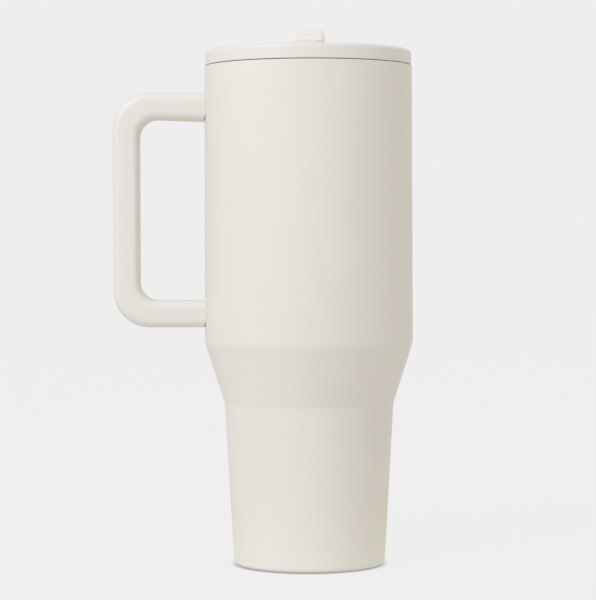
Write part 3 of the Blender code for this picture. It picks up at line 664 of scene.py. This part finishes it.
def lid_cover_cuts(under):
    """The hub's well, the port with its seal's seat, the vent, the notch and the pins' bore."""
    well = arc((HINGE_POINT.y, HINGE_POINT.z), HUB_R + GAP, 0, -180, 32)
    top = HINGE_POINT.z + HUB_R + 1
    well += [(HINGE_POINT.y - HUB_R - GAP, top), (HINGE_POINT.y + HUB_R + GAP, top)]
    seat = LID_TOP - 1.8
    seat_r = PORT_R + 2.3
    above = ISLAND_TOP + 0.2
    notch = rounded([(-4.3, above, 0.0), (3.4, ISLAND_TOP - 0.05, 0.0),
                     (6.0, ISLAND_TOP - NOTCH_DEPTH, 0.25), (6.9, above, 0.0)])
    return [
        prism("cut", well, "yz", -EAR_IN, EAR_IN, LID_AXES),
        rod("cut", PORT_R, under - 2, HINGE_POINT.z, (0, PORT_Y), axes=LID_AXES),
        rod("cut", seat_r, seat, HINGE_POINT.z - 1, (0, PORT_Y), axes=LID_AXES),
        rod("cut", VENT_R, under - 2, ISLAND_TOP + 2, (0, VENT_Y), axes=LID_AXES),
        prism("cut", notch, "xz", ISLAND_FRONT - 2, NOTCH_BACK, LID_AXES),
        rod("cut", PIN_BORE_R, -EAR_OUT - 2, EAR_OUT + 2, (HINGE_POINT.y, HINGE_POINT.z), "yz",
            axes=LID_AXES)]


def make_lid_cover():
    """Dished cap with a skirt, the cradle and the hinge ears."""
    under = LID_TOP - LID_PLATE_T
    floor = LID_TOP - LID_DISH
    corners = [
        (0, floor, 0.0), (LID_R - 6.5, floor, 6.0), (LID_R - 4.2, LID_TOP, 5.0),
        (LID_R, LID_TOP, LID_EDGE), (LID_R, LID_BOTTOM, 0.4),
        (LID_R - LID_SKIRT_T, LID_BOTTOM, 0.3), (LID_R - LID_SKIRT_T, under, 0.5), (0, under, 0.0)]
    cover = lathe("lid_top", rounded(corners, closed=False, step=6.0), closed=False, axes=LID_AXES)
    loops = [[(x, y, z) for x, y in cradle_plan(inset)] for z, inset in cradle_levels(floor)]
    combine(cover, [loft("cradle", loops, LID_AXES)] + make_ears(floor), "UNION")
    combine(cover, lid_cover_cuts(under), "DIFFERENCE")
    place(cover, "lid", PLASTIC, "cream_plastic", "lid_cover")


def make_lid_plug():
    top = LID_TOP - LID_PLATE_T - GAP
    flange_r = LID_R - LID_SKIRT_T - GAP
    flange_top = LID_BOTTOM + 2.0
    groove_r = PLUG_R - GROOVE_DEPTH
    inside = groove_r - PLUG_T
    corners = [
        (0, PLUG_BOTTOM, 0.0), (PLUG_R, PLUG_BOTTOM, 1.6), (PLUG_R, GASKET_LOW - GAP, 0.2),
        (groove_r, GASKET_LOW - GAP, 0.2), (groove_r, GASKET_HIGH + GAP, 0.2),
        (PLUG_R, GASKET_HIGH + GAP, 0.2), (PLUG_R, LID_BOTTOM, 0.4), (flange_r, LID_BOTTOM, 0.2),
        (flange_r, flange_top, 0.4), (PLUG_R, flange_top, 0.2), (PLUG_R, top, 0.2),
        (inside, top, 0.2), (inside, PLUG_BOTTOM + PLUG_T, 1.0), (0, PLUG_BOTTOM + PLUG_T, 0.0)]
    plug = lathe("lid_plug_body", rounded(corners, closed=False, step=18.0), closed=False,
                 segments=160, axes=LID_AXES)
    nipple_r = 4.0
    tip = rounded([(0, NIPPLE_BOTTOM, 0.0), (nipple_r, NIPPLE_BOTTOM, 0.5),
                   (nipple_r, PLUG_BOTTOM + 1, 0.0), (0, PLUG_BOTTOM + 1, 0.0)], closed=False)
    joined = [
        rod("tube", PORT_R + 2.2, PLUG_BOTTOM + 0.5, top, (0, PORT_Y), axes=LID_AXES),
        lathe("nipple", tip, (0, PORT_Y), SMALL, closed=False, axes=LID_AXES)]
    combine(plug, joined, "UNION")
    cuts = [
        rod("cut", PORT_R, NIPPLE_BOTTOM - 2, top + 2, (0, PORT_Y), axes=LID_AXES),
        rod("cut", 1.6, PLUG_BOTTOM - 2, PLUG_BOTTOM + PLUG_T + 2, (0, VALVE_Y), axes=LID_AXES)]
    combine(plug, cuts, "DIFFERENCE")
    place(plug, "lid", PLASTIC, "cream_plastic", "lid_plug")


def make_gasket():
    root_r = PLUG_R - GROOVE_DEPTH + GAP
    web_r = PLUG_R - 0.2
    pitch = (GASKET_HIGH - GASKET_LOW) / 3
    corners = [(root_r, GASKET_LOW, 0.2), (web_r, GASKET_LOW, 0.15)]
    for lip in range(3):
        z = GASKET_LOW + pitch * lip
        corners += [(web_r, z + 0.3, 0.15), (GASKET_R, z + 1.1, 0.12), (GASKET_R, z + 1.4, 0.12),
                    (web_r, z + 1.7, 0.15)]
    corners += [(web_r, GASKET_HIGH, 0.15), (root_r, GASKET_HIGH, 0.2)]
    place(lathe("gasket_ring", rounded(corners, step=25.0), segments=160, axes=LID_AXES), "lid",
          SILICONE, "silicone", "lid_gasket")


def make_vent_valve():
    low = PLUG_BOTTOM - GAP
    high = PLUG_BOTTOM + PLUG_T + GAP
    corners = [(0, low - 1.2, 0.0), (2.4, low - 1.1, 2.0), (4.0, low - 0.2, 0.15),
               (4.0, low, 0.08), (1.3, low, 0.1), (1.3, high, 0.1), (2.1, high, 0.3),
               (1.2, high + 2.2, 0.4), (0, high + 2.2, 0.0)]
    place(lathe("umbrella_valve", rounded(corners, closed=False), (0, VALVE_Y), SMALL,
                closed=False, axes=LID_AXES), "lid", SILICONE, "silicone", "vent_valve")


def make_straw():
    low, high = low_high("straw")
    outer = 4.0
    inner = 3.2
    tube = rounded([(inner, low, 0.3), (outer, low, 0.35), (outer, high, 0.3), (inner, high, 0.3)],
                   step=30.0)
    place(lathe("drinking_straw", tube, (0, PORT_Y), SMALL, axes=LID_AXES), "lid", STRAW_PLASTIC,
          "straw_plastic", "straw")
    low, high = low_high("straw_connector")
    bore = outer + GAP
    wall = bore + 1.3
    corners = [(bore, low, 0.2), (wall, low, 0.6)]
    for bead in range(3):
        z = low + (high - low) * (0.3 + 0.2 * bead)
        corners += [(wall, z - 0.7, 0.2), (wall - 0.35, z, 0.3), (wall, z + 0.7, 0.2)]
    corners += [(wall, high, 0.6), (bore, high, 0.2)]
    place(lathe("straw_sleeve", rounded(corners, step=25.0), (0, PORT_Y), SMALL, axes=LID_AXES),
          "lid", SILICONE, "silicone", "straw_connector")


def make_port_seal():
    low, high = low_high("port_seal")
    ring = rounded([(PORT_R, low, 0.1), (PORT_R + 2.0, low, 0.1), (PORT_R + 2.0, high, 0.35),
                    (PORT_R, high, 0.5)], step=20.0)
    place(lathe("port_ring", ring, (0, PORT_Y), SMALL, axes=LID_AXES), "lid", SILICONE,
          "silicone", "port_seal")


# ---- mouthpiece -------------------------------------------------------------------------------
def bar_loop(half, y, inset, low_inset=None):
    """Rounded section of the mouthpiece bar, about the hinge, shrunk by inset."""
    low = HUB_R - MOUTH_T + (inset if low_inset is None else low_inset)
    top = HUB_R - inset
    edge = max(0.25, MOUTH_EDGE - inset)
    foot = max(0.15, MOUTH_LOW_EDGE - inset)
    half -= inset
    return [(x, y, z) for x, z in rounded([(-half, low, foot), (half, low, foot),
                                           (half, top, edge), (-half, top, edge)])]


def bar_end(half, y, bend, sense):
    """Loops that round the bar's end at y, listed from the front; sense is +1 at a front end."""
    loops = []
    ticks = 5
    for tick in range(ticks + 1):
        angle = math.radians(90 * tick / ticks)
        loops.append(bar_loop(half, y + sense * bend * (1 - math.cos(angle)),
                              bend * (1 - math.sin(angle))))
    return loops[::sense]


def slot_loop(half_w, half_h, bend, y):
    low = CHANNEL_RISE - half_h
    high = CHANNEL_RISE + half_h
    return [(x, y, z) for x, z in rounded([(-half_w, low, bend), (half_w, low, bend),
                                           (half_w, high, bend), (-half_w, high, bend)])]


def tip_loops():
    """Front end of the bite valve: bowed in plan, leaning back, with a soft edge all round."""
    loops = []
    ticks = 9
    side_bend = 1.5
    depth = 0.8
    edge = 0.8
    low_edge = 0.15
    for tick in range(ticks + 1):
        angle = math.radians(90 * tick / ticks)
        shrink = 1 - math.sin(angle)
        loop = bar_loop(TIP_HALF - (side_bend - edge) * shrink, 0.0, edge * shrink,
                        low_edge * shrink)
        back = depth * (1 - math.cos(angle))
        loops.append([(x, TIP + back + TIP_LEAN * (z - HUB_R + MOUTH_T) / MOUTH_T, z)
                      for x, y, z in loop])
    return loops


def make_bite_valve(axes):
    """Soft end of the mouthpiece, opened by a bite at its slit."""
    loops = tip_loops() + bar_end(TIP_HALF, VALVE_END, 0.35, -1)
    valve = loft("bite_valve_soft", loops, axes)
    front = TIP + TIP_WALL
    cavity = [slot_loop(5.8 - shrink, 2.1 - shrink, 1.8 - shrink, y)
              for y, shrink in ((front, 0.5), (front + 0.5, 0.0), (VALVE_END + 1, 0.0))]
    slit_half = 3.2
    slit_open = 0.025
    diamond = ((-slit_half, 0.0), (0, -slit_open), (slit_half, 0.0), (0, slit_open))
    slit = [[(x, y, CHANNEL_RISE + z) for x, z in diamond] for y in (TIP - 1, front + 1)]
    combine(valve, [loft("cut", cavity, axes), loft("cut", slit, axes)], "DIFFERENCE")
    place(valve, "spout", BITE_SILICONE, "silicone", "bite_valve")


def make_mouthpiece(axes):
    """Hard bar and hub of the mouthpiece, with the nozzle that carries the bite valve."""
    end_bend = 0.35
    loops = bar_end(TIP_HALF, VALVE_END + GAP, end_bend, 1)
    waist_from = -9.0
    waist_to = -5.4
    steps = 8
    for tick in range(steps + 1):
        share = tick / steps
        ease = share * share * (3 - 2 * share)
        half = TIP_HALF + (HUB_HALF - TIP_HALF) * ease
        loops.append(bar_loop(half, waist_from + (waist_to - waist_from) * share, 0.0))
    loops.append(bar_loop(HUB_HALF, -0.5, 0.0))
    mouthpiece = loft("flip_spout", loops, axes)

    chamfer = 0.35
    rings = []
    for x, radius in ((-HUB_HALF, HUB_R - chamfer), (-HUB_HALF + chamfer, HUB_R),
                      (HUB_HALF - chamfer, HUB_R), (HUB_HALF, HUB_R - chamfer)):
        rings.append([(x, y, z) for y, z in arc((0, 0), radius, 0, 360, MEDIUM)[:-1]])
    nozzle_tip = VALVE_END - 6.5
    nozzle = [slot_loop(5.5 - shrink, 1.8 - shrink, 1.5 - shrink, y)
              for y, shrink in ((nozzle_tip, 0.4), (nozzle_tip + 0.4, 0.0), (VALVE_END + 2, 0.0))]
    combine(mouthpiece, [loft("hub", rings, axes), loft("nozzle", nozzle, axes)], "UNION")

    low = HUB_R - MOUTH_T
    channel = [slot_loop(2.6, 1.3, 1.2, y) for y in (TIP - 1, HUB_R + 2)]
    cuts = [loft("cut", channel, axes),
            rod("cut", 2.3, low - 1, low + 0.8, (0, VENT_Y - HINGE_POINT.y), axes=axes)]
    for side in (-1, 1):
        ends = sorted((side * 3.1, side * (HUB_HALF + 2)))
        cuts.append(rod("cut", PIN_BORE_R, ends[0], ends[1], (0, 0), "yz", axes=axes))
    combine(mouthpiece, cuts, "DIFFERENCE")
    place(mouthpiece, "spout", PLASTIC, "cream_plastic", "mouthpiece")


def make_vent_nub(axes):
    """Silicone nub under the bar that plugs the vent hole while the mouthpiece is folded."""
    low = HUB_R - MOUTH_T
    reach = ISLAND_TOP - HINGE_POINT.z - 0.5
    nub = rounded([(0, reach, 0.0), (0.6, reach, 0.3), (0.6, low - 0.05, 0.1),
                   (2.0, low - 0.05, 0.15), (2.0, low + 0.5, 0.1), (0, low + 0.5, 0.0)],
                  closed=False)
    place(lathe("vent_nub", nub, (0, VENT_Y - HINGE_POINT.y), SMALL, closed=False, axes=axes),
          "spout", SILICONE, "silicone", "vent_plug")


def make_pins(axes):
    dome = 0.2
    ends = ((3.4, 0.85), (3.55, 1.0), (7.0 - dome, 1.0), (7.0, 0.8))
    for side, name in ((-1, "left"), (1, "right")):
        rings = [[(side * x, y, z) for y, z in arc((0, 0), radius, 0, 360, 32)[:-1]]
                 for x, radius in ends]
        place(loft("pin_" + name, rings, axes), "lid", STEEL, "steel", "hinge_pin_" + name)


# ---- pieces kept from the frame ---------------------------------------------------------------
def finish_kept_nodes():
    steel_nodes = ["base_cap", "bracket_upper", "bracket_lower"]
    steel_nodes += [name for name in frame["nodes"] if name.startswith("handle_screw")]
    finishes = {name: STEEL for name in steel_nodes}
    finishes["vacuum_port_seal"] = SEAL_BEAD
    finishes["getter"] = GETTER
    for name, material in finishes.items():
        frame["nodes"][name].data.materials.clear()
        frame["nodes"][name].data.materials.append(material)


# ---- studio -----------------------------------------------------------------------------------
BACKDROP = 0.855              # what the camera sees behind and under the tumbler
AMBIENT = (0.70, 0.685, 0.648)
POOL = 1.2                    # the floor lights the foot this much more than the backdrop does
POOL_FROM = 0.04              # and fades to the backdrop's strength between these distances
POOL_TO = 0.11
FLOOR_R = 6000                # millimetres
FLOOR_DIM = 0.022             # the floor is seen this much darker than the backdrop
SHADE_REACH = 0.005           # how near the base the floor starts to darken
SHADE_FULL = 0.35             # and its strength right under the base


def seen_or_lit(tree, seen, lit):
    """A colour that is one value to the camera and another to the light it gives."""
    path = tree.nodes.new("ShaderNodeLightPath")
    mix = tree.nodes.new("ShaderNodeMix")
    mix.data_type = "RGBA"
    mix.inputs["A"].default_value = (*lit, 1.0)
    mix.inputs["B"].default_value = (*seen, 1.0)
    tree.links.new(path.outputs["Is Camera Ray"], mix.inputs["Factor"])
    return mix.outputs["Result"]


def make_world():
    world = bpy.data.worlds.new("studio")
    bpy.context.scene.world = world
    world.use_nodes = True
    tree = world.node_tree
    background = tree.nodes["Background"]
    tree.links.new(seen_or_lit(tree, (BACKDROP,) * 3, AMBIENT), background.inputs["Color"])


def contact_shade(tree):
    """Strength of the floor: full in the open, dropping close under the base."""
    shade = tree.nodes.new("ShaderNodeAmbientOcclusion")
    shade.inputs["Distance"].default_value = SHADE_REACH
    shade.samples = 12
    curve = tree.nodes.new("ShaderNodeMapRange")
    curve.inputs["From Min"].default_value = 0.0
    curve.inputs["From Max"].default_value = 0.75
    curve.inputs["To Min"].default_value = SHADE_FULL
    curve.inputs["To Max"].default_value = 1.0
    tree.links.new(shade.outputs["AO"], curve.inputs["Value"])
    return curve.outputs["Result"]


def pool_of_light(tree):
    """Light the floor gives, a little stronger near the tumbler."""
    place_on_floor = tree.nodes.new("ShaderNodeNewGeometry")
    reach = tree.nodes.new("ShaderNodeVectorMath")
    reach.operation = "LENGTH"
    tree.links.new(place_on_floor.outputs["Position"], reach.inputs[0])
    pool = tree.nodes.new("ShaderNodeMapRange")
    pool.interpolation_type = "SMOOTHSTEP"
    pool.inputs["From Min"].default_value = POOL_FROM
    pool.inputs["From Max"].default_value = POOL_TO
    pool.inputs["To Min"].default_value = POOL
    pool.inputs["To Max"].default_value = 1.0
    tree.links.new(reach.outputs["Value"], pool.inputs["Value"])
    lit = tree.nodes.new("ShaderNodeVectorMath")
    lit.operation = "SCALE"
    lit.inputs[0].default_value = AMBIENT
    tree.links.new(pool.outputs["Result"], lit.inputs["Scale"])
    return lit.outputs["Vector"]


def make_floor():
    """Pale floor as bright as the backdrop, darkened only close under the base by painted contact
    shade.
    """
    bm = bmesh.new()
    bmesh.ops.create_circle(bm, cap_ends=True, segments=96, radius=FLOOR_R)
    floor = finish_piece("floor", bm)
    material = bpy.data.materials.new("pale_floor")
    material.use_nodes = True
    tree = material.node_tree
    tree.nodes.remove(tree.nodes["Principled BSDF"])
    shade = contact_shade(tree)
    lit = pool_of_light(tree)
    seen = seen_or_lit(tree, (BACKDROP - FLOOR_DIM,) * 3, AMBIENT)
    tree.links.new(lit, seen.node.inputs["A"])
    tint = tree.nodes.new("ShaderNodeVectorMath")
    tint.operation = "SCALE"
    tree.links.new(seen, tint.inputs[0])
    tree.links.new(shade, tint.inputs["Scale"])
    glow = tree.nodes.new("ShaderNodeEmission")
    tree.links.new(tint.outputs["Vector"], glow.inputs["Color"])
    diffuse = tree.nodes.new("ShaderNodeBsdfDiffuse")
    diffuse.inputs["Color"].default_value = (0.03, 0.03, 0.03, 1.0)
    both = tree.nodes.new("ShaderNodeAddShader")
    tree.links.new(glow.outputs["Emission"], both.inputs[0])
    tree.links.new(diffuse.outputs["BSDF"], both.inputs[1])
    tree.links.new(both.outputs["Shader"], tree.nodes["Material Output"].inputs["Surface"])
    floor.data.materials.append(material)


def aim(thing, target):
    thing.rotation_mode = "QUATERNION"
    thing.rotation_quaternion = (thing.location - target).to_track_quat("Z", "Y")


def make_light(name, bearing, height, distance, size, power, colour):
    """A soft square panel; bearing 0 is at the camera's side and positive to its right."""
    data = bpy.data.lights.new(name, "AREA")
    data.shape = "SQUARE"
    data.size = size
    data.energy = power
    data.color = colour
    light = bpy.data.objects.new(name, data)
    bpy.context.collection.objects.link(light)
    across = math.radians(bearing)
    up = math.radians(height)
    middle = Vector((0, 0, 0.13))
    light.location = middle + distance * Vector((
        math.sin(across) * math.cos(up), -math.cos(across) * math.cos(up), math.sin(up)))
    aim(light, middle)
    light.visible_camera = False


def make_lights():
    make_light("key", -38, 35, 1.9, 1.0, 14.6, (0.97, 1.005, 1.175))
    make_light("rim", 140, 25, 1.9, 0.8, 2.0, (1.0, 0.98, 0.95))


CAMERA_DISTANCE = 1.080
CAMERA_HEIGHT = 0.1559
CAMERA_SIDE = -0.0052
CAMERA_LENS = 134.59
CAMERA_PITCH = -1.524
CAMERA_ROLL = -0.185


def make_camera():
    data = bpy.data.cameras.new("camera")
    data.lens = CAMERA_LENS
    data.sensor_width = 36.0
    data.clip_start = 0.05
    data.clip_end = 50.0
    camera = bpy.data.objects.new("camera", data)
    bpy.context.collection.objects.link(camera)
    camera.location = (CAMERA_SIDE, -CAMERA_DISTANCE, CAMERA_HEIGHT)
    turn = Matrix.Rotation(math.radians(90 + CAMERA_PITCH), 4, "X")
    camera.rotation_euler = (turn @ Matrix.Rotation(math.radians(CAMERA_ROLL), 4, "Z")).to_euler()
    bpy.context.scene.camera = camera


def make_studio():
    make_world()
    make_floor()
    make_lights()
    make_camera()
    bpy.context.scene.view_settings.view_transform = "Standard"


# ---- all of it --------------------------------------------------------------------------------
make_shell()
make_liner()
make_pad()
make_handle()
make_lid_cover()
make_lid_plug()
make_gasket()
make_vent_valve()
make_straw()
make_port_seal()
hinge_axes = LID_AXES @ Matrix.Translation(HINGE_POINT)
make_bite_valve(hinge_axes)
make_mouthpiece(hinge_axes)
make_vent_nub(hinge_axes)
make_pins(hinge_axes)
finish_kept_nodes()
make_studio()
